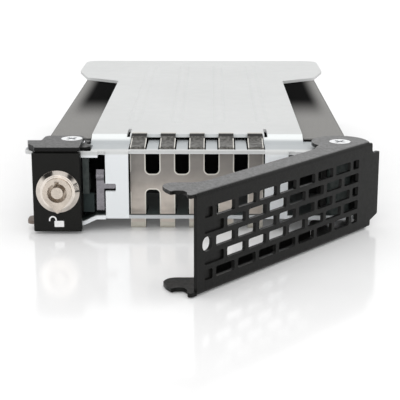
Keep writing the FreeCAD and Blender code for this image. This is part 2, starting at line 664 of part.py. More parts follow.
def lock_housing():
    """The moulded bezel block that holds the lock."""
    left = -HALF_FRONT
    middle = (left + BEZEL_RIGHT) / 2
    face = cross_plate([(left, BEZEL_LOW, 0.5), (BEZEL_RIGHT, BEZEL_LOW, 0.5),
                        (BEZEL_RIGHT, BEZEL_TOP, 0.5), (left, BEZEL_TOP, 0.5)],
                       0, BEZEL_THICKNESS)
    front = [edge for edge in face.Edges
             if all(abs(point.Point.y) < 1e-6 for point in edge.Vertexes)]
    face = face.makeFillet(EDGE_ROUND, front)
    body_left = left + HOUSING_SETBACK
    body_right = BEZEL_RIGHT - HOUSING_SETBACK / 2
    body_low = STEP_TOP
    body_high = LEDGE_LOW
    body = cross_plate([(body_left, body_low, 1), (body_right, body_low, 1),
                        (body_right, body_high, 1), (body_left, body_high, 1)],
                       BEZEL_THICKNESS, HOUSING_BACK)
    rim = box(left + 1, BEZEL_RIGHT - 1, BEZEL_THICKNESS / 2, BEZEL_THICKNESS,
              BEZEL_TOP - 1, COVER_LOW)
    # lug that the lock bar slides behind
    lug = box(body_right - WALL, STOP_RIGHT, STOP_FRONT, STOP_FRONT + WALL, STOP_LOW, STOP_HIGH)
    housing = fuse([face, body, rim, lug])
    cavity = cross_plate([(body_left + WALL, LOCK_Z - CAVITY_HALF, 1),
                          (body_right - WALL, LOCK_Z - CAVITY_HALF, 1),
                          (body_right - WALL, LOCK_Z + CAVITY_HALF, 1),
                          (body_left + WALL, LOCK_Z + CAVITY_HALF, 1)],
                         BEZEL_THICKNESS + WALL, HOUSING_BACK + 1)
    bore = rod(LOCK_X, -1, LOCK_Z, BARREL_RADIUS, HOUSING_BACK, V(0, 1, 0))
    bore = bore.common(box(LOCK_X - BARREL_FLAT, LOCK_X + BARREL_FLAT, -1, HOUSING_BACK,
                           LOCK_Z - 8, LOCK_Z + 8))
    arm_low = LOCK_Z - LOCK_TRAVEL / 2 - ARM_HALF - TOUCH
    arm_high = LOCK_Z + LOCK_TRAVEL / 2 + LEAF_TOP + TOUCH
    arm_window = box(body_right - WALL - 1, body_right + 1, PLUG_BACK + CAM_THICKNESS,
                     HOUSING_BACK + 1, arm_low, arm_high)
    return housing.cut([cavity, bore, arm_window, cover_screw(), housing_screw()])


def lock_ring():
    """The conical chrome ring round the lock."""
    outline = [(BARREL_RADIUS, 0, 0), (RING_RADIUS, 0, 0), (RING_RADIUS, RING_EDGE, 0.2),
               (CREST_RADIUS, RING_CREST, 0.4), (BARREL_RADIUS, RING_CREST, 0)]
    face = Part.Face(rounded_wire(outline))
    ring = face.revolve(V(0, 0, 0), V(0, 1, 0), 360)
    ring.rotate(V(0, 0, 0), V(1, 0, 0), 180)
    ring.translate(V(LOCK_X, 0, LOCK_Z))
    return ring


def lock_barrel():
    """The fixed lock body: a flatted cylinder with a thin lip over the ring."""
    body = rod(LOCK_X, 0, LOCK_Z, BARREL_RADIUS, BARREL_LENGTH, V(0, 1, 0))
    body = body.common(box(LOCK_X - BARREL_FLAT, LOCK_X + BARREL_FLAT, 0, BARREL_LENGTH,
                           LOCK_Z - 8, LOCK_Z + 8))
    neck = rod(LOCK_X, -RING_CREST, LOCK_Z, BARREL_RADIUS, RING_CREST, V(0, 1, 0))
    lip = rod(LOCK_X, -RING_CREST - LIP_THICKNESS, LOCK_Z, BARREL_RADIUS + 0.5, LIP_THICKNESS,
              V(0, 1, 0))
    barrel = fuse([body, neck, lip])
    groove = box(LOCK_X - BARREL_RADIUS, LOCK_X + BARREL_RADIUS, CLIP_FRONT,
                 CLIP_FRONT + CLIP_SHEET, LOCK_Z - 8, LOCK_Z + 8)
    kept = box(LOCK_X - CLIP_GRIP, LOCK_X + CLIP_GRIP, CLIP_FRONT, CLIP_FRONT + CLIP_SHEET,
               LOCK_Z - 8, LOCK_Z + 8)
    bore = rod(LOCK_X, -3, LOCK_Z, PLUG_RADIUS + LOCK_TURN_GAP, BARREL_LENGTH + 6, V(0, 1, 0))
    return barrel.cut([groove.cut(kept), bore])


def lock_clip():
    """The horseshoe clip that holds the lock body in the housing."""
    wide = CLIP_GRIP + CLIP_LEG
    low = LOCK_Z - BARREL_RADIUS - 0.4
    high = LOCK_Z + BARREL_RADIUS + CLIP_LEG
    outline = [(LOCK_X - wide, low, 0.6), (LOCK_X - CLIP_GRIP, low, 0.2),
               (LOCK_X - CLIP_GRIP, LOCK_Z + BARREL_RADIUS, 0.2),
               (LOCK_X + CLIP_GRIP, LOCK_Z + BARREL_RADIUS, 0.2),
               (LOCK_X + CLIP_GRIP, low, 0.2), (LOCK_X + wide, low, 0.6),
               (LOCK_X + wide, high, 1), (LOCK_X - wide, high, 1)]
    return cross_plate(outline, CLIP_FRONT, CLIP_FRONT + CLIP_SHEET)


def lock_rotor():
    """The turning plug with its teardrop face, key groove and flatted tail."""
    front = -RING_CREST - LIP_THICKNESS - 2 * LOCK_TURN_GAP
    round_end = rod(0, 0, 0, ROTOR_RADIUS, FACE_THICKNESS, V(0, -1, 0))
    tip_z = -(POINTER_REACH - POINTER_TIP)
    tip = rod(0, 0, tip_z, POINTER_TIP, FACE_THICKNESS, V(0, -1, 0))
    # straight flanks of the pointer, tangent to both round ends
    lean = math.asin((ROTOR_RADIUS - POINTER_TIP) / -tip_z)
    big = (ROTOR_RADIUS * math.cos(lean), -ROTOR_RADIUS * math.sin(lean))
    small = (POINTER_TIP * math.cos(lean), tip_z - POINTER_TIP * math.sin(lean))
    flank = cross_plate([(-big[0], big[1], 0), (-small[0], small[1], 0),
                         (small[0], small[1], 0), (big[0], big[1], 0)], -FACE_THICKNESS, 0)
    face = fuse([round_end, tip, flank])
    face.translate(V(LOCK_X, front, LOCK_Z))
    plug = rod(LOCK_X, front, LOCK_Z, PLUG_RADIUS, PLUG_BACK - front, V(0, 1, 0))
    rotor = fuse([face, plug])
    groove = rod(LOCK_X, front - 2, LOCK_Z, KEY_GROOVE_OUTER, KEY_DEPTH + 2, V(0, 1, 0))
    post = rod(LOCK_X, front - 2, LOCK_Z, KEY_GROOVE_INNER, KEY_DEPTH + 2, V(0, 1, 0))
    keyway = box(LOCK_X - 0.7, LOCK_X + 0.7, front - 2, front + KEY_DEPTH,
                 LOCK_Z + KEY_GROOVE_INNER, LOCK_Z + KEY_GROOVE_OUTER + 0.7)
    thread = rod(LOCK_X, PLUG_BACK - CAM_SCREW_LENGTH, LOCK_Z, CAM_SCREW_RADIUS,
                 CAM_SCREW_LENGTH, V(0, 1, 0))
    return rotor.cut([groove.cut(post), keyway, thread])


def lock_cam():
    """The disc on the tail of the plug whose pin lifts the lock bar."""
    disc = rod(LOCK_X, PLUG_BACK, LOCK_Z, CAM_RADIUS, CAM_THICKNESS, V(0, 1, 0))
    pin = rod(LOCK_X - LOCK_TRAVEL / 2, PLUG_BACK, LOCK_Z - LOCK_TRAVEL / 2, CAM_PIN,
              CAM_THICKNESS + PIN_REACH, V(0, 1, 0))
    cam = fuse([disc, pin])
    return cam.cut(cam_screw())


def cam_screw():
    """The small countersunk screw that fastens the cam to the plug."""
    back = PLUG_BACK + CAM_THICKNESS
    head = Part.makeCone(CAM_SCREW_RADIUS, CAM_SCREW_HEAD, CAM_SCREW_CONE,
                         V(LOCK_X, back - CAM_SCREW_CONE, LOCK_Z), V(0, 1, 0))
    shank = rod(LOCK_X, PLUG_BACK - CAM_SCREW_LENGTH, LOCK_Z, CAM_SCREW_RADIUS,
                CAM_SCREW_LENGTH + CAM_THICKNESS - CAM_SCREW_CONE, V(0, 1, 0))
    return fuse([head, shank])


def lock_bar():
    """The sliding bar: rises through the ledge into the notch of the handle's ear."""
    arm_front = PLUG_BACK + CAM_THICKNESS + TOUCH
    arm_back = arm_front + SHEET
    slot_z = LOCK_Z - LOCK_TRAVEL / 2
    arm_low = slot_z - ARM_HALF
    arm_high = slot_z + ARM_HALF
    leaf_high = slot_z + LEAF_TOP
    prong = box(BAR_LEFT, BAR_RIGHT, BAR_FRONT, BAR_BACK, BAR_LOW, BAR_TOP)
    leaf = box(BAR_LEFT, BAR_LEFT + SHEET, BAR_FRONT, arm_back, BAR_LOW, leaf_high)
    arm = cross_plate([(LOCK_X - ARM_REACH, arm_low, 1), (BAR_LEFT + SHEET, arm_low, 1),
                       (BAR_LEFT + SHEET, arm_high, 0), (LOCK_X - ARM_REACH, arm_high, 1)],
                      arm_front, arm_back)
    bar = fuse([prong, leaf, arm])
    # slot for the cam pin, long enough for its sideways swing
    half = CAM_PIN + ARM_SLOT_PLAY
    swing = LOCK_TRAVEL / 2 * (math.sqrt(2) - 1)
    slot_left = LOCK_X - LOCK_TRAVEL / 2 - swing - half
    slot_right = LOCK_X - LOCK_TRAVEL / 2 + half
    slot = cross_plate([(slot_left, slot_z - half, half * 0.9),
                        (slot_right, slot_z - half, half * 0.9),
                        (slot_right, slot_z + half, half * 0.9),
                        (slot_left, slot_z + half, half * 0.9)],
                       arm_front - 1, arm_back + 1)
    tip_edges = [edge for edge in bar.Edges
                 if all(abs(point.Point.z - BAR_TOP) < 1e-6 for point in edge.Vertexes)]
    bar = bar.makeChamfer(0.3, tip_edges)
    return bar.cut(slot)


def small_rivet(x, y, sheet):
    """A flush-bottomed rivet with a low dome on top of a small sheet part."""
    top = LOWER_LEDGE_TOP + sheet
    shank = rod(x, y, LOWER_LEDGE_LOW, SPRING_RIVET_RADIUS, top - LOWER_LEDGE_LOW)
    dome_radius = 2 * SPRING_RIVET_RADIUS
    dome = Part.makeSphere(dome_radius, V(x, y, top + 0.6 - dome_radius))
    dome = dome.common(box(x - 4, x + 4, y - 4, y + 4, top, top + 2))
    return fuse([shank, dome])


def kick_spring():
    """The leaf spring that pushes the released handle open."""
    path = [(SPRING_FOOT, LOWER_LEDGE_TOP), (SPRING_FRONT, LOWER_LEDGE_TOP),
            (SPRING_FRONT, TAB_SLOT_HIGH + 0.6), (SPRING_FRONT - SPRING_BUMP, SPRING_TOP - 2.2),
            (SPRING_FRONT + 0.3, SPRING_TOP)]
    leaf = side_profile(folded(path, SPRING_SHEET, BEND), SPRING_LEFT, SPRING_RIGHT)
    finger = cross_plate(
        [(SPRING_LEFT, TAB_SLOT_LOW + 0.5, 0), (-TAB_OUTER + TAB_SLOT_DEPTH - 0.3,
          TAB_SLOT_LOW + 0.5, 0.6), (-TAB_OUTER + TAB_SLOT_DEPTH - 0.3, TAB_SLOT_HIGH - 0.3, 0.6),
         (SPRING_LEFT, TAB_SLOT_HIGH - 0.3, 0)], SPRING_FRONT, SPRING_FRONT + SPRING_SHEET)
    spring = fuse([leaf, finger])
    return spring.cut(rod(SPRING_RIVET_X, SPRING_RIVET_Y, LOWER_LEDGE_LOW,
                          SPRING_RIVET_RADIUS, 4))


# ---------------------------------------------------------------- grounding strip
def grounding_strip():
    """The slotted stainless strip whose fingers touch the bay above and below."""
    half = STRIP_WIDTH / 2
    face = cross_plate([(-half, STRIP_FACE_LOW, 0), (half, STRIP_FACE_LOW, 0),
                        (half, STRIP_TOP, 0), (-half, STRIP_TOP, 0)],
                       STRIP_FRONT, STRIP_FRONT + STRIP_SHEET)
    cuts = []
    half_slot = SLOT_WIDTH / 2
    for x in SLOT_X:
        upper = [(x - half_slot, UPPER_SLOT_LOW, SLOT_ROUND), (x + half_slot, UPPER_SLOT_LOW,
                 SLOT_ROUND), (x + half_slot, STRIP_TOP + 1, 0), (x - half_slot, STRIP_TOP + 1, 0)]
        lower = [(x - half_slot, STRIP_FACE_LOW - 1, 0), (x + half_slot, STRIP_FACE_LOW - 1, 0),
                 (x + half_slot, LOWER_SLOT_HIGH, SLOT_ROUND),
                 (x - half_slot, LOWER_SLOT_HIGH, SLOT_ROUND)]
        for outline in (upper, lower):
            cuts.append(cross_plate(outline, STRIP_FRONT - 1, STRIP_FRONT + 2))
    face = face.cut(cuts)
    path = [(STRIP_FRONT + LOWER_FINGER_REACH, LOWER_FINGER_LOW + 0.9),
            (STRIP_FRONT - LOWER_FINGER_LEAN, LOWER_FINGER_LOW),
            (STRIP_FRONT, LOWER_LEDGE_LOW), (STRIP_FRONT, LEDGE_TOP + FINGER_STEP),
            (FINGER_KNEE_Y, FINGER_KNEE), (FINGER_CREST_Y, FINGER_CREST),
            (FINGER_CREST_Y + FINGER_TIP, FINGER_CREST - 0.1)]
    section = folded(path, STRIP_SHEET, [BEND, FINGER_BEND, FINGER_BEND,
                                           2 * FINGER_BEND, FINGER_BEND])
    half_finger = FINGER_WIDTH / 2
    fingers = [side_profile(section, x - half_finger, x + half_finger) for x in FINGER_X]
    return fuse([face] + fingers)


# ---------------------------------------------------------------- handle
def flange_outline():
    """Both flanges of the closed handle seen from above, hooked ear to pivot lobe."""
    tip = BEZEL_RIGHT + EAR_GAP
    ear = [(HANDLE_FREE, HANDLE_FACE + 0.4, 0), (tip + 0.3, HANDLE_FACE + 0.6, 0.6),
           (tip + 0.4, 1.6, 0.6),
           (tip + 2.2, 3.2, 1.2), (tip + 3.1, 5.4, 1.2), (tip + 1.6, 7.2, 0.8),
           (tip + 0.1, 7.5, 0.5), (tip + 1.3, 10.6, 2), (tip + 3.2, 13.6, 2.5),
           (tip + 7.2, EAR_TIP + 0.5, 3.5), (tip + 12, HANDLE_FLANGE + 1.4, 5),
           (tip + 15.4, HANDLE_FLANGE, 8)]
    notch_x = PIVOT_X - LOBE_RADIUS
    notch = [(notch_x - 6.2, HANDLE_FLANGE, 8), (notch_x - 1.2, HANDLE_FLANGE + 2.2, 1.2)]
    lobe = [(x, y, 0) for x, y in arc_points((PIVOT_X, PIVOT_Y), LOBE_RADIUS, 168, -30, 16)]
    right = HALF_FRONT + HANDLE_EDGE
    end = [(right - 1.0, 0.6, 1), (right - 1.8, HANDLE_FACE, 0)]
    return ear + notch + lobe + end


def handle():
    """The folded swing handle: C-section, hooked ears, pivot lobes and grille."""
    right = HALF_FRONT + HANDLE_EDGE
    tab = right + HANDLE_TAB
    reach = PIVOT_Y + LOBE_RADIUS + 1
    path = [(reach, HANDLE_LOW), (HANDLE_FACE, HANDLE_LOW), (HANDLE_FACE, HANDLE_HIGH),
            (reach, HANDLE_HIGH)]
    shell = side_profile(folded(path, HANDLE_SHEET, HANDLE_BEND), HANDLE_FREE, tab)
    flanges = plate(flange_outline(), HANDLE_LOW - 1, HANDLE_HIGH + 1)
    wall = box(HANDLE_FREE, tab, HANDLE_FACE - 1,
               HANDLE_FACE + HANDLE_SHEET + HANDLE_BEND / 2,
               HANDLE_LOW + 0.6, HANDLE_HIGH - 0.6)
    outline = cross_plate(
        [(HANDLE_FREE, HANDLE_LOW - 1, 0), (right, HANDLE_LOW - 1, 0),
         (right, HANDLE_TAB_LOW - 1, 0), (right + 1.2, HANDLE_TAB_LOW - 0.6, 0.3),
         (tab, HANDLE_TAB_LOW + 0.6, 0.6), (tab, HANDLE_TAB_HIGH, 0.5),
         (right + 0.8, HANDLE_TAB_HIGH - 0.2, 0.5), (right, HANDLE_TAB_HIGH + 1.0, 0),
         (right, HANDLE_HIGH + 1, 0), (HANDLE_FREE, HANDLE_HIGH + 1, 0)],
        HANDLE_FACE - 1, HANDLE_FACE + HANDLE_SHEET + HANDLE_BEND)
    keep = flanges.fuse(wall.common(outline)).removeSplitter()
    parts = [shell.common(keep)]
    # flat hooked ears that stand out past the end of the folds
    ear_box = box(HANDLE_FREE - 5, HANDLE_FREE + 0.5, HANDLE_FACE - 1, HANDLE_FACE + 20,
                  HANDLE_LOW - 2, HANDLE_HIGH + 2)
    for low in (HANDLE_LOW, HANDLE_TOP_LOW):
        ear = plate(flange_outline(), low, low + HANDLE_SHEET).common(ear_box)
        parts.append(ear)
    # the lower flange's back edge is turned up to stiffen it
    first, last = HANDLE_LIP_SPAN
    run = box(first, last, HANDLE_FLANGE - HANDLE_LIP_RUN, HANDLE_FLANGE + 1,
              HANDLE_LOW - 1, HANDLE_BOTTOM_HIGH + 1)
    lip = [(HANDLE_FLANGE, HANDLE_LIP), (HANDLE_FLANGE, HANDLE_LOW),
           (HANDLE_FLANGE - HANDLE_LIP_RUN, HANDLE_LOW)]
    parts[0] = parts[0].cut(run)
    parts.append(side_profile(folded(lip, HANDLE_SHEET, HANDLE_BEND), first, last))
    sheet = fuse(parts)
    cuts = [countersink(PIVOT_X, PIVOT_Y, HANDLE_HIGH, SCREW_SHANK + SHANK_GAP, HEAD_GAP),
            countersink(PIVOT_X, PIVOT_Y, HANDLE_LOW, SCREW_SHANK + SHANK_GAP, HEAD_GAP,
                        upward=True)]
    cuts += grille()
    sheet = sheet.cut(cuts)
    sheet.rotate(V(PIVOT_X, PIVOT_Y, 0), V(0, 0, 1), HANDLE_OPEN)
    return sheet


def grille():
    """Staggered rows of oblong holes; the cells over the ears' end are blind."""
    front = HANDLE_FACE - 1
    through = HANDLE_FACE + HANDLE_SHEET + 1
    blind = HANDLE_FACE + BLIND_DEPTH
    first = GRILLE_LAST - (GRILLE_COLUMNS - 1) * GRILLE_PITCH
    left_half = first - HOLE_WIDTH / 2 + HALF_HOLE_WIDTH / 2
    right_half = GRILLE_LAST + HOLE_WIDTH / 2 - HALF_HOLE_WIDTH / 2
    holes = []
    for row in range(GRILLE_ROWS):
        z = GRILLE_MIDDLE + ((GRILLE_ROWS - 1) / 2 - row) * GRILLE_ROW_PITCH
        if row % 2:
            holes.append(grille_hole(first, z, HOLE_WIDTH, HOLE_HEIGHT, front, blind))
            centres = [first + i * GRILLE_PITCH for i in range(1, GRILLE_COLUMNS)]
        else:
            centres = [first + (i + 0.5) * GRILLE_PITCH for i in range(GRILLE_COLUMNS - 1)]
            holes.append(grille_hole(right_half, z, HALF_HOLE_WIDTH, HOLE_HEIGHT,
                                     front, through))
            if row == GRILLE_ROWS // 2:
                holes.append(grille_hole(left_half - 0.6, z, *LATCH_HOLE, front, through))
            else:
                holes.append(grille_hole(left_half, z, HALF_HOLE_WIDTH, HOLE_HEIGHT,
                                         front, blind))
        for x in centres:
            holes.append(grille_hole(x, z, HOLE_WIDTH, HOLE_HEIGHT, front, through))
    return holes


def grille_hole(x, z, width, height, y0, y1):
    """One rounded oblong in the closed handle's wall between two depths."""
    half = width / 2
    tall = height / 2
    radius = min(HOLE_ROUND, half / 2) if height < width else half * 0.9
    outline = [(x - half, z - tall, radius), (x + half, z - tall, radius),
               (x + half, z + tall, radius), (x - half, z + tall, radius)]
    return cross_plate(outline, y0, y1)


# ---------------------------------------------------------------- pivots and screws
def pivot_post():
    """The threaded column between both ledges that the pivot screws enter."""
    post = rod(PIVOT_X, PIVOT_Y, LOWER_LEDGE_TOP, POST_RADIUS, LEDGE_LOW - LOWER_LEDGE_TOP)
    return post.cut([upper_pivot_screw(), lower_pivot_screw()])


def hinge_block():
    """The black moulded block that backs the pivot post between both ledges."""
    outline = [(BLOCK_LEFT, BLOCK_FRONT, 1), (BLOCK_RIGHT, BLOCK_FRONT, 0.6),
               (BLOCK_RIGHT, BLOCK_BEND, 3), (RAIL_OUTER, BLOCK_BEND, 0),
               (RAIL_OUTER, BLOCK_BACK, 1), (BLOCK_LEFT, BLOCK_BACK, 1)]
    block = plate(outline, LOWER_LEDGE_TOP, LEDGE_LOW)
    return block.cut(rod(PIVOT_X, PIVOT_Y, LOWER_LEDGE_TOP - 1, POST_RADIUS + TOUCH,
                         LEDGE_LOW))


def washer(x, y, z0, z1):
    """A plain washer between two heights."""
    ring = rod(x, y, z0, WASHER_RADIUS, z1 - z0)
    return ring.cut(rod(x, y, z0 - 1, WASHER_BORE, z1 - z0 + 2))


def upper_pivot_screw():
    return countersunk_screw(PIVOT_X, PIVOT_Y, HANDLE_HIGH, SCREW_LENGTH)


def lower_pivot_screw():
    return countersunk_screw(PIVOT_X, PIVOT_Y, HANDLE_LOW, SCREW_LENGTH, upward=True)


def cover_screw():
    return countersunk_screw(COVER_SCREW_X, COVER_SCREW_Y, COVER_TOP, COVER_SCREW_LENGTH)


def housing_screw():
    return countersunk_screw(COVER_SCREW_X, LOWER_SCREW_Y, STEP_TOP - SHEET,
                             LOWER_SCREW_LENGTH, upward=True)


NODES = {
    "chassis_deck": chassis_deck,
    "bottom_frame": bottom_frame,
    "tray": tray,
    "right_rivets": right_rivets,
    "left_rivets": lambda: mirrored(right_rivets()),
    "left_cover": left_cover,
    "cover_screw": cover_screw,
    "cover_washer": lambda: washer(COVER_SCREW_X, COVER_SCREW_Y, LEDGE_TOP, COVER_LOW),
    "lock_housing": lock_housing,
    "housing_screw": housing_screw,
    "lock_ring": lock_ring,
    "lock_barrel": lock_barrel,
    "lock_clip": lock_clip,
    "lock_rotor": lock_rotor,
    "lock_cam": lock_cam,
    "cam_screw": cam_screw,
    "lock_bar": lock_bar,
    "kick_spring": kick_spring,
    "kick_spring_rivet": lambda: small_rivet(SPRING_RIVET_X, SPRING_RIVET_Y, SPRING_SHEET),
    "grounding_strip": grounding_strip,
    "handle": handle,
    "pivot_post": pivot_post,
    "hinge_block": hinge_block,
    "upper_pivot_screw": upper_pivot_screw,
    "lower_pivot_screw": lower_pivot_screw,
    "upper_pivot_washer": lambda: washer(PIVOT_X, PIVOT_Y, LEDGE_TOP,
                                         HANDLE_TOP_LOW - WASHER_GAP),
    "lower_pivot_washer": lambda: washer(PIVOT_X, PIVOT_Y, HANDLE_BOTTOM_HIGH + WASHER_GAP,
                                         LOWER_LEDGE_LOW),
}


def build():
    """Write every sub-part to its own STEP file."""
    os.makedirs("parts", exist_ok=True)
    for name, make in NODES.items():
        shape = make()
        shape.exportStep(os.path.join("parts", name + ".step"))
        print(name, len(shape.Solids), shape.isValid(), round(shape.Volume, 2))


build()
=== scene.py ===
"""Looks of the hot-swap drive caddy: materials, the printed lock mark, light and camera.

Metres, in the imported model's own frame: X across the front, +Y into the bay, +Z up.
"""
import math
import bmesh
import bpy
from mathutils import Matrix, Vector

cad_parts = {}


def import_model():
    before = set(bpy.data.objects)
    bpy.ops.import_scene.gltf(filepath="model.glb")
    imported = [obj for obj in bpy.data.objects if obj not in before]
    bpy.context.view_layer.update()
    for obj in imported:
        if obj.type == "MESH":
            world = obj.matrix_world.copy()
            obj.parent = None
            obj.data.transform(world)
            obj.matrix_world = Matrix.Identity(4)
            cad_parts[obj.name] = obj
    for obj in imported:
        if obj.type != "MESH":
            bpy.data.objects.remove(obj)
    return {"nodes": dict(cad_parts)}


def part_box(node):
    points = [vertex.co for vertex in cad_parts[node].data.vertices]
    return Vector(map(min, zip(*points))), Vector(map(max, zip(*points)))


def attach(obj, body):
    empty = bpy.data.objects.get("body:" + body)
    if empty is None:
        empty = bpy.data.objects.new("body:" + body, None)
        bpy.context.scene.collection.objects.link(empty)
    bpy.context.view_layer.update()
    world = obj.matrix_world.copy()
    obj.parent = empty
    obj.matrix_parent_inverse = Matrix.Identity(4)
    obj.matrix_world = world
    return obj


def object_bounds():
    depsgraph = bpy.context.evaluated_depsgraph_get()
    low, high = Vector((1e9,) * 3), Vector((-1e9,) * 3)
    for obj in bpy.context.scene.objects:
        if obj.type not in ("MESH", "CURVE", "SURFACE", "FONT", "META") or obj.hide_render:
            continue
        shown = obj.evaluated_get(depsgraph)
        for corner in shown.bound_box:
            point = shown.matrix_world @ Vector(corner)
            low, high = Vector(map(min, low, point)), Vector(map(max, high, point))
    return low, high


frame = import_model()
cad_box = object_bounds()
MM = 0.001
NODES = frame["nodes"]

# ------------------------------------------------------------------ places, in mm
# deck: its ledge and foot, in painted shade; the slope of its joggle, with a painted
# highlight; the tabs folded down in front, in painted light
LEDGE_TOP = (28.9, 29.4)
FOOT_BAND = (7.0, 24)
SLOPE_FOOT = (28.3, 29.2)
SLOPE_BAND = (15.9, 21.5)
TAB_TOP = (26.2, 27.0)
# base frame: where its inside begins and where its left ear ends; both carry painted shade
FRAME_INSIDE = (3.6, 4.6)
LEFT_EAR = (-54.8, -54.0)
# tray: the space between its sheets, which gets painted shade, its top flanges, and the
# painted shadow patch on them
TRAY_INSIDE_X = (-51.4, 51.4)
TRAY_INSIDE_Z = (0.4, 28.4)
FLANGE_FOOT = (28.0, 28.8)
SHADOW_PATCH_Y = (76, 185)
SHADOW_PATCH_FADE = 24
SHADOW_PATCH_X = (45, 51.5)
# lock block: the lug on its inner side
LUG_X = (-38.6, -34.6)
LUG_Y = (4.5, 5.5)
# tops of the powder-coated handle and cover, where the painted sheen lies
HANDLE_TOP = 30.4
COVER_TOP = 29.9
# contact strip: its slots, which repeat across it with the fingers, and the painted
# highlight round them
FINGER_PITCH = 10.05
SLOT_HALF = 2.375
SLOT_ROUND = 1.5
UPPER_SLOT_END = 18.9
LOWER_SLOT_END = 13.4
RIM = (0.25, 0.5)
# contact strip: where its upper fingers begin, their edges and tips with a painted
# highlight, the band of painted shade before the tips, the painted shadow line at the lower
# bend, and its lower fingers, painted pale
UPPER_FINGER = (27.2, 27.9)
FINGER_EDGE_X = (2.2, 2.4)
FINGER_EDGE_Z = (27.9, 29.4)
FINGER_SHADE = (18.6, 19.8)
FINGER_TIP_HIGHLIGHT = (20.1, 20.8)
LOWER_BEND_SHADOW = (3.9, 4.8)
LOWER_FINGER = (1.6, 2.2)

# ------------------------------------------------------------------ noise levels
SOFT = (0.3, 0.7)
CLEAR = (0.35, 0.65)
PATCHES = (0.35, 0.7)
FLECKS = (0.42, 0.75)
THIN = (0.35, 0.6)

# ------------------------------------------------------------------ stage
WORLD_LIGHT = 0.85
WHITE = 1.0
CARD_DARK = 0.03
# the card's soft edges, by the height and the forward part of a direction
CARD_HEIGHT = (0.25, 0.5)
CARD_FRONT = (-0.1, -0.35)
FLOOR_REACH = 4.0
FLOOR_GLOW = 0.07
FLOOR_ROUGHNESS = 0.12
LENS = 103.65
SENSOR = 36
EYE = (4.77 * MM, -373.5 * MM, 111.9 * MM)
LOOK_DOWN = 14.98
LOOK_LEFT = 0.55
CLIP = (0.01, 20)


# ------------------------------------------------------------------ node helpers
class Tree:
    """A node tree under construction, with short names for the nodes it uses."""

    def __init__(self, tree):
        self.tree = tree

    def add(self, kind):
        return self.tree.nodes.new(kind)

    def link(self, source, target):
        self.tree.links.new(source, target)

    def feed(self, socket, value):
        """Gives a socket a number, an RGB triple or the output of another node."""
        if isinstance(value, tuple):
            socket.default_value = (*value, 1)
        elif isinstance(value, (int, float)):
            socket.default_value = value
        else:
            self.link(value, socket)

    def calc(self, operation, a, b):
        """One sum on two values, each a number or a socket."""
        node = self.add("ShaderNodeMath")
        node.operation = operation
        self.feed(node.inputs[0], a)
        self.feed(node.inputs[1], b)
        return node.outputs[0]

    def times(self, a, b):
        return self.calc("MULTIPLY", a, b)

    def spread(self, value, low, high, to_low=0.0, to_high=1.0, smooth=True):
        """Maps a value from one range to another, clamped."""
        node = self.add("ShaderNodeMapRange")
        node.interpolation_type = "SMOOTHSTEP" if smooth else "LINEAR"
        node.inputs["From Min"].default_value = low
        node.inputs["From Max"].default_value = high
        node.inputs["To Min"].default_value = to_low
        node.inputs["To Max"].default_value = to_high
        self.link(value, node.inputs["Value"])
        return node.outputs["Result"]


class Shader(Tree):
    """A material under construction, in the places of the object it covers."""

    def __init__(self, name):
        self.material = bpy.data.materials.new(name)
        self.material.use_nodes = True
        super().__init__(self.material.node_tree)
        self.bsdf = self.tree.nodes["Principled BSDF"]
        self.place = self.add("ShaderNodeTexCoord").outputs["Object"]
        split = self.add("ShaderNodeSeparateXYZ")
        self.link(self.place, split.inputs[0])
        self.axes = {"X": split.outputs[0], "Y": split.outputs[1], "Z": split.outputs[2]}

    def noise(self, scale, detail, stretch=(1, 1, 1)):
        """Noise of about 1/scale metres, pulled out along an axis by a small stretch."""
        mapping = self.add("ShaderNodeMapping")
        mapping.inputs["Scale"].default_value = stretch
        self.link(self.place, mapping.inputs["Vector"])
        node = self.add("ShaderNodeTexNoise")
        node.inputs["Scale"].default_value = scale
        node.inputs["Detail"].default_value = detail
        self.link(mapping.outputs[0], node.inputs["Vector"])
        return node.outputs["Fac"]

    def mottle(self, scale, detail, levels, to_low=0.0, to_high=1.0, stretch=(1, 1, 1)):
        """Noise between two of its own levels, spread over a whole range."""
        return self.spread(self.noise(scale, detail, stretch), *levels, to_low, to_high)

    def above(self, axis, low, high):
        """Zero up to one place along an axis and one from the next, in mm."""
        return self.spread(self.axes[axis], low * MM, high * MM)

    def below(self, axis, low, high):
        """One up to one place along an axis and zero from the next, in mm."""
        return self.spread(self.axes[axis], low * MM, high * MM, 1, 0)

    def within(self, axis, low, high, soft):
        """One between two places in mm along an axis, zero outside, soft mm at each end."""
        rise = self.above(axis, low - soft, low + soft)
        fall = self.below(axis, high - soft, high + soft)
        return self.times(rise, fall)

    def blend(self, factor, a, b):
        """Mixes two colours, each an RGB triple or a socket."""
        node = self.add("ShaderNodeMix")
        node.data_type = "RGBA"
        self.link(factor, node.inputs["Factor"])
        colours = [s for s in node.inputs if s.type == "RGBA"]
        self.feed(colours[0], a)
        self.feed(colours[1], b)
        return [s for s in node.outputs if s.type == "RGBA"][0]

    def bump(self, height, strength, distance):
        node = self.add("ShaderNodeBump")
        node.inputs["Strength"].default_value = strength
        node.inputs["Distance"].default_value = distance * MM
        self.link(height, node.inputs["Height"])
        self.link(node.outputs[0], self.bsdf.inputs["Normal"])

    def finish(self, colour, roughness, metallic=0.0, specular=0.5):
        self.feed(self.bsdf.inputs["Base Color"], colour)
        self.feed(self.bsdf.inputs["Roughness"], roughness)
        self.bsdf.inputs["Metallic"].default_value = metallic
        self.bsdf.inputs["Specular IOR Level"].default_value = specular
        return self.material


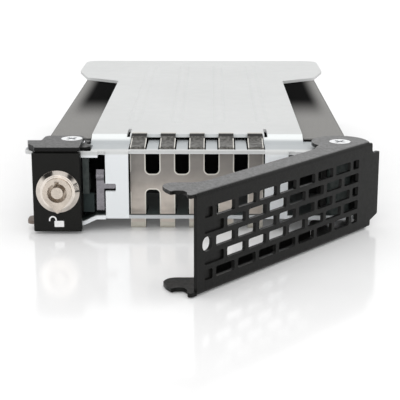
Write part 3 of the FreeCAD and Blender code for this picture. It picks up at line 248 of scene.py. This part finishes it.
# ------------------------------------------------------------------ materials
def galvanised():
    """Pale zinc-coated sheet with a faint bloom; a painted highlight on the joggle's slope,
    painted shade in a bluer grey at its foot, and painted light on the tabs.
    """
    s = Shader("galvanised_sheet")
    bloom = s.mottle(25, 3, SOFT)
    colour = s.blend(bloom, (0.67, 0.68, 0.675), (0.70, 0.71, 0.705))
    fine = s.mottle(1200, 2, SOFT)
    colour = s.blend(s.times(fine, 0.2), colour, (0.62, 0.63, 0.63))
    # painted shade: the ledge and the joggle's foot in a darker, bluer grey, where the
    # concave bend lies in shade
    ledge = s.below("Z", *LEDGE_TOP)
    foot = s.times(ledge, s.within("Y", *FOOT_BAND, 1.5))
    colour = s.blend(s.times(foot, 0.9), colour, (0.47, 0.50, 0.515))
    # painted highlight: the joggle's slope, facing up and forward, in a near-white
    slope_highlight = s.times(s.above("Z", *SLOPE_FOOT), s.within("Y", *SLOPE_BAND, 0.3))
    colour = s.blend(slope_highlight, colour, (0.92, 0.95, 0.95))
    # painted light: the tabs folded down in front are much paler than the rest of the same
    # sheet
    lit_tabs = s.blend(bloom, (0.91, 0.94, 0.96), (0.95, 0.98, 1.0))
    colour = s.blend(s.below("Z", *TAB_TOP), colour, lit_tabs)
    roughness = s.mottle(200, 3, SOFT, 0.42, 0.55)
    s.bump(s.noise(1500, 2), 0.08, 0.1)
    return s.finish(colour, roughness, specular=0.3)


def frame_zinc():
    """The same sheet on the base frame: pale at its front edge as painted light, with
    painted shade making its inside dark and its left ear a dark brown-grey.
    """
    s = Shader("base_frame_sheet")
    bloom = s.mottle(60, 4, CLEAR)
    pale = s.blend(bloom, (0.88, 0.91, 0.93), (0.93, 0.96, 0.98))
    dull = s.blend(bloom, (0.026, 0.036, 0.035), (0.045, 0.058, 0.055))
    # painted light on the frame's front edge, which is pale, and painted shade on its
    # inside, which is a dark grey-green
    colour = s.blend(s.above("Y", *FRAME_INSIDE), pale, dull)
    # painted shade: the left ear in a dark brown-grey
    colour = s.blend(s.below("X", *LEFT_EAR), colour, (0.22, 0.18, 0.155))
    s.bump(s.noise(1500, 2), 0.08, 0.1)
    return s.finish(colour, 0.5, specular=0.2)


def powder_black(name, tint, top, top_sheen):
    """Black powder coat: fine orange peel, with a painted sheen where its top face catches
    the light.
    """
    s = Shader(name)
    flecks = s.mottle(2600, 3, FLECKS)
    pale = tuple(3.0 * value for value in tint)
    colour = s.blend(s.times(flecks, 0.6), tint, pale)
    # painted sheen: the top face a pale grey, as the coat catches light at a grazing angle
    top_sheen_colour = s.blend(s.mottle(1800, 4, SOFT), (0.55 * top_sheen,) * 3, (top_sheen,) * 3)
    colour = s.blend(s.above("Z", top - 0.25, top - 0.05), colour, top_sheen_colour)
    roughness = s.mottle(700, 3, SOFT, 0.3, 0.42)
    s.bump(s.noise(2200, 2), 0.25, 0.1)
    return s.finish(colour, roughness, specular=0.15)


def tray_black():
    """The tray's black coat: a painted sheen on its top flanges with a soft painted shadow
    on them, painted shade darker still inside, dead black below the flanges.
    """
    s = Shader("tray_black")
    grain = s.mottle(2600, 3, FLECKS)
    # painted sheen: the top flanges a pale grey
    top_sheen = s.blend(grain, (0.27, 0.265, 0.255), (0.36, 0.355, 0.345))
    # painted shade: the inside of the tray is darker still than the coat
    inside_shade = s.times(s.within("X", *TRAY_INSIDE_X, 0.15), s.within("Z", *TRAY_INSIDE_Z, 0.3))
    # painted shadow: the coat goes black in a soft patch beside the deck, away from the
    # outer edge
    near, far = SHADOW_PATCH_X
    inner = s.times(s.above("X", -far, -near), s.below("X", near, far))
    painted_shadow = s.times(s.within("Y", *SHADOW_PATCH_Y, SHADOW_PATCH_FADE), inner)
    colour = s.blend(painted_shadow, top_sheen, (0.003, 0.003, 0.003))
    colour = s.blend(inside_shade, colour, (0.002, 0.002, 0.002))
    colour = s.blend(s.above("Z", *FLANGE_FOOT), (0.006, 0.006, 0.006), colour)
    s.bump(s.noise(1800, 2), 0.15, 0.1)
    return s.finish(colour, s.spread(painted_shadow, 0, 1, 0.6, 1.0), specular=0.02)


def moulded_black():
    """Fine-grained black plastic, greener on the lock block's lug."""
    s = Shader("moulded_black")
    grain = s.mottle(3000, 2, CLEAR)
    colour = s.blend(grain, (0.004, 0.004, 0.0035), (0.009, 0.009, 0.0075))
    lug = s.times(s.within("X", *LUG_X, 0.1), s.above("Y", *LUG_Y))
    colour = s.blend(lug, colour, (0.024, 0.036, 0.036))
    s.bump(s.noise(3500, 2), 0.2, 0.05)
    return s.finish(colour, 0.45, specular=0.2)


def slot_rim_highlight(s, across):
    """One along the rolled edges of the strip's slots, where a painted highlight goes, zero
    elsewhere.

    Across is how far a place lies from the middle of the nearest slot.
    """
    side = s.calc("SUBTRACT", across, (SLOT_HALF - SLOT_ROUND) * MM)
    side = s.calc("MAXIMUM", side, 0.0)
    above = s.calc("SUBTRACT", (UPPER_SLOT_END + SLOT_ROUND) * MM, s.axes["Z"])
    below = s.calc("SUBTRACT", s.axes["Z"], (LOWER_SLOT_END - SLOT_ROUND) * MM)
    end = s.calc("MAXIMUM", s.calc("MINIMUM", above, below), 0.0)
    squares = s.calc("ADD", s.times(side, side), s.times(end, end))
    reach = s.calc("POWER", squares, 0.5)
    inner, outer = RIM
    return s.spread(reach, (SLOT_ROUND + inner) * MM, (SLOT_ROUND + outer) * MM, 1, 0)


def stainless():
    """Satin strip with a mottled, warm tone. Painted shade darkens it toward its top, on its
    mottled upper fingers and in a line at the lower bend; painted highlights brighten the
    slot rims, the finger edges and the finger tips; painted light makes it paler to the foot
    and on the lower fingers.
    """
    s = Shader("stainless_strip")
    brushed = s.mottle(500, 4, SOFT, stretch=(0.08, 1, 1))
    # painted shade and light: the strip darkens toward its top and is warm and pale at its
    # foot
    colour = s.blend(s.above("Z", 4, 22), (0.88, 0.79, 0.70), (0.30, 0.28, 0.26))
    colour = s.blend(s.times(brushed, 0.2), colour, (0.36, 0.33, 0.31))
    blotch = s.mottle(160, 3, PATCHES)
    colour = s.blend(s.times(blotch, 0.25), colour, (0.20, 0.185, 0.175))
    # painted shade: the upper fingers are dark, with a mottle
    painted_finger_shade = s.blend(s.mottle(900, 4, CLEAR), (0.05, 0.048, 0.042), (0.15, 0.145, 0.135))
    # distance from the middle of the nearest finger, and from that of the nearest slot
    wave = s.calc("PINGPONG", s.axes["X"], FINGER_PITCH / 2 * MM)
    across = s.calc("SUBTRACT", FINGER_PITCH / 2 * MM, wave)
    # painted highlight round the slots' edges
    colour = s.blend(s.times(slot_rim_highlight(s, across), 0.9), colour, (0.86, 0.83, 0.76))
    # painted shadow: a dark line at the lower bend, in the gap above the frame's edge
    colour = s.blend(s.within("Z", *LOWER_BEND_SHADOW, 0.2), colour, (0.02, 0.02, 0.018))
    colour = s.blend(s.above("Z", *UPPER_FINGER), colour, painted_finger_shade)
    # painted highlight along the side edges of the upper fingers
    near, far = FINGER_EDGE_X
    edge_highlight = s.times(s.spread(wave, near * MM, far * MM), s.within("Z", *FINGER_EDGE_Z, 0.2))
    colour = s.blend(s.times(edge_highlight, 0.9), colour, (0.86, 0.84, 0.78))
    colour = s.blend(s.within("Y", *FINGER_SHADE, 0.25), colour, (0.012, 0.011, 0.01))
    # painted highlight on the finger tips, whose tops face up
    colour = s.blend(s.above("Y", *FINGER_TIP_HIGHLIGHT), colour, (0.62, 0.60, 0.54))
    # painted light: the lower fingers are pale
    colour = s.blend(s.below("Z", *LOWER_FINGER), colour, (0.70, 0.67, 0.59))
    roughness = s.mottle(700, 3, SOFT, 0.3, 0.45, stretch=(0.1, 1, 1))
    s.bump(s.noise(1200, 2, (0.1, 1, 1)), 0.1, 0.05)
    return s.finish(colour, roughness, metallic=0.3, specular=0.3)


def plated(name, colour, roughness, dull=0.7):
    """Polished plate with soft wipe marks."""
    s = Shader(name)
    marks = s.mottle(300, 4, PATCHES)
    dulled = tuple(dull * value for value in colour)
    tone = s.blend(s.times(marks, 0.5), colour, dulled)
    rough = s.mottle(500, 3, SOFT, roughness, roughness + 0.12)
    return s.finish(tone, rough, metallic=1.0)


def phosphate():
    """Dark grey-green treated steel."""
    s = Shader("phosphate_steel")
    colour = s.blend(s.mottle(700, 4, CLEAR), (0.030, 0.040, 0.038), (0.050, 0.062, 0.058))
    s.bump(s.noise(1500, 2), 0.1, 0.05)
    return s.finish(colour, 0.5, specular=0.4)


def white_ink():
    """Slightly uneven white print."""
    s = Shader("white_ink")
    colour = s.blend(s.mottle(1800, 3, THIN), (0.92, 0.92, 0.92), (1.0, 1.0, 1.0))
    return s.finish(colour, 0.6, specular=0.3)


def dress():
    """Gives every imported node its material; screws, washers and the like are zinc."""
    sheet = galvanised()
    handle = powder_black("handle_black", (0.006, 0.006, 0.0055), HANDLE_TOP, 0.17)
    cover = powder_black("cover_black", (0.006, 0.006, 0.006), COVER_TOP, 0.10)
    plastic = moulded_black()
    zinc = plated("zinc_plate", (0.92, 0.93, 0.94), 0.3, 0.85)
    chrome = plated("chrome_plate", (0.72, 0.66, 0.60), 0.06)
    lock = plated("lock_plate", (0.62, 0.55, 0.48), 0.2)
    spring = plated("spring_steel", (0.26, 0.25, 0.27), 0.22)
    dark = phosphate()
    looks = {
        "chassis_deck": sheet, "bottom_frame": frame_zinc(), "right_rivets": sheet,
        "left_rivets": sheet, "tray": tray_black(), "left_cover": cover,
        "lock_housing": plastic, "hinge_block": plastic, "handle": handle,
        "grounding_strip": stainless(), "lock_ring": chrome, "lock_barrel": chrome,
        "lock_rotor": lock, "lock_cam": lock, "lock_clip": spring, "kick_spring": spring,
        "lock_bar": dark, "pivot_post": dark,
    }
    for name, node in NODES.items():
        node.data.materials.clear()
        node.data.materials.append(looks.get(name, zinc))


# ------------------------------------------------------------------ printed mark
def mesh_piece(name, build, material, body):
    """A mesh object made by build(bmesh), riding on a body."""
    mesh = bpy.data.meshes.new(name)
    shape = bmesh.new()
    build(shape)
    bmesh.ops.recalc_face_normals(shape, faces=shape.faces)
    shape.to_mesh(mesh)
    shape.free()
    piece = bpy.data.objects.new(name, mesh)
    bpy.context.scene.collection.objects.link(piece)
    mesh.materials.append(material)
    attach(piece, body)


def slab(shape, outline, y_front, y_back):
    """Adds a thin upright slab from an (x, z) outline."""
    front = [shape.verts.new((x, y_front, z)) for x, z in outline]
    face = shape.faces.new(front)
    moved = bmesh.ops.extrude_face_region(shape, geom=[face])
    for item in moved["geom"]:
        if isinstance(item, bmesh.types.BMVert):
            item.co.y = y_back


def arc(centre_x, centre_z, radius, start, turn, steps):
    """Points (x, z) around a centre, from an angle in degrees, by a turn at each step."""
    angles = [math.radians(start + turn * step) for step in range(steps + 1)]
    return [(centre_x + radius * math.cos(angle), centre_z + radius * math.sin(angle))
            for angle in angles]


def lock_mark():
    """The open padlock printed low on the bezel."""
    low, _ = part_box("lock_housing")
    left = low[0] + 7.0 * MM
    right = left + 3.25 * MM
    bottom = low[2] + 1.7 * MM
    top = bottom + 2.15 * MM
    front = low[1] - 0.03 * MM
    back = low[1] + 0.05 * MM

    def build(shape):
        corner = 0.25 * MM
        body = []
        for x, z, start in ((right - corner, bottom + corner, -90),
                            (right - corner, top - corner, 0),
                            (left + corner, top - corner, 90),
                            (left + corner, bottom + corner, 180)):
            body += arc(x, z, corner, start, 30, 3)
        slab(shape, body, front, back)
        # shackle, swung open over the left of the body
        inner_radius = 0.85 * MM
        outer_radius = inner_radius + 0.5 * MM
        x = left - 0.5 * MM
        z = top + 0.35 * MM
        foot = top - 0.1 * MM
        outer = arc(x, z, outer_radius, 180, -15, 12)
        inner = arc(x, z, inner_radius, 180, -15, 12)
        ring = [(x - outer_radius, foot)] + outer
        ring += [(x + outer_radius, foot), (x + inner_radius, foot)]
        ring += inner[::-1] + [(x - inner_radius, foot)]
        slab(shape, ring, front, back)

    mesh_piece("lock_mark", build, white_ink(), "sled")


# ------------------------------------------------------------------ floor, light and camera
def floor():
    """A plain pale floor under the caddy's lowest point."""
    lowest = cad_box[0][2]
    mesh = bpy.data.meshes.new("floor")
    corners = ((-1, -1), (1, -1), (1, 1), (-1, 1))
    mesh.from_pydata([(x * FLOOR_REACH, y * FLOOR_REACH, lowest) for x, y in corners],
                     [], [(0, 1, 2, 3)])
    piece = bpy.data.objects.new("floor", mesh)
    bpy.context.scene.collection.objects.link(piece)
    s = Shader("pale_floor")
    colour = s.blend(s.mottle(30, 2, SOFT), (0.97, 0.97, 0.97), (0.99, 0.99, 0.99))
    s.finish(colour, FLOOR_ROUGHNESS, specular=0.3)
    # a little own white towards the camera, so that the open floor reads as white
    glow = s.add("ShaderNodeEmission")
    glow.inputs["Strength"].default_value = FLOOR_GLOW
    none = s.add("ShaderNodeEmission")
    none.inputs["Strength"].default_value = 0.0
    choose = s.add("ShaderNodeMixShader")
    s.link(s.add("ShaderNodeLightPath").outputs["Is Camera Ray"], choose.inputs[0])
    s.link(none.outputs[0], choose.inputs[1])
    s.link(glow.outputs[0], choose.inputs[2])
    both = s.add("ShaderNodeAddShader")
    s.link(s.bsdf.outputs[0], both.inputs[0])
    s.link(choose.outputs[0], both.inputs[1])
    s.link(both.outputs[0], s.tree.nodes["Material Output"].inputs["Surface"])
    mesh.materials.append(s.material)


def world():
    """White to the camera, soft grey as a light; reflections are white with a dark card."""
    studio = bpy.data.worlds.new("studio")
    bpy.context.scene.world = studio
    studio.use_nodes = True
    t = Tree(studio.node_tree)
    t.tree.nodes.clear()
    path = t.add("ShaderNodeLightPath").outputs
    seen = t.calc("MAXIMUM", path["Is Camera Ray"], path["Is Glossy Ray"])
    seen = t.calc("MAXIMUM", seen, path["Is Transmission Ray"])
    light = t.add("ShaderNodeBackground")
    light.inputs["Strength"].default_value = WORLD_LIGHT
    white = t.add("ShaderNodeBackground")
    for node in (light, white):
        node.inputs["Color"].default_value = (1, 1, 1, 1)
    # the dark card, high in front, is there for reflections alone
    split = t.add("ShaderNodeSeparateXYZ")
    t.link(t.add("ShaderNodeTexCoord").outputs["Generated"], split.inputs[0])
    card = t.times(t.spread(split.outputs[2], *CARD_HEIGHT),
                   t.spread(split.outputs[1], *CARD_FRONT))
    card = t.times(card, path["Is Glossy Ray"])
    t.link(t.spread(card, 0, 1, WHITE, CARD_DARK, smooth=False), white.inputs["Strength"])
    mix = t.add("ShaderNodeMixShader")
    t.link(seen, mix.inputs[0])
    t.link(light.outputs[0], mix.inputs[1])
    t.link(white.outputs[0], mix.inputs[2])
    t.link(mix.outputs[0], t.add("ShaderNodeOutputWorld").inputs[0])


def sun(name, strength, tilt, softness):
    """A soft, even light, tilted from straight down by some degrees."""
    data = bpy.data.lights.new(name, "SUN")
    data.energy = strength
    data.angle = math.radians(softness)
    lamp = bpy.data.objects.new(name, data)
    bpy.context.scene.collection.objects.link(lamp)
    lamp.rotation_euler = (math.radians(tilt), 0, 0)


def camera():
    """The photograph's viewing angle: from the front, a little above."""
    data = bpy.data.cameras.new("camera")
    data.lens = LENS
    data.sensor_width = SENSOR
    data.clip_start, data.clip_end = CLIP
    eye = bpy.data.objects.new("camera", data)
    bpy.context.scene.collection.objects.link(eye)
    eye.location = EYE
    eye.rotation_euler = (math.radians(90 - LOOK_DOWN), 0, math.radians(LOOK_LEFT))
    bpy.context.scene.camera = eye


dress()
lock_mark()
floor()
world()
sun("overhead", strength=0.3, tilt=-25, softness=60)
sun("front", strength=0.5, tilt=55, softness=50)
camera()
bpy.context.scene.view_settings.view_transform = "Standard"
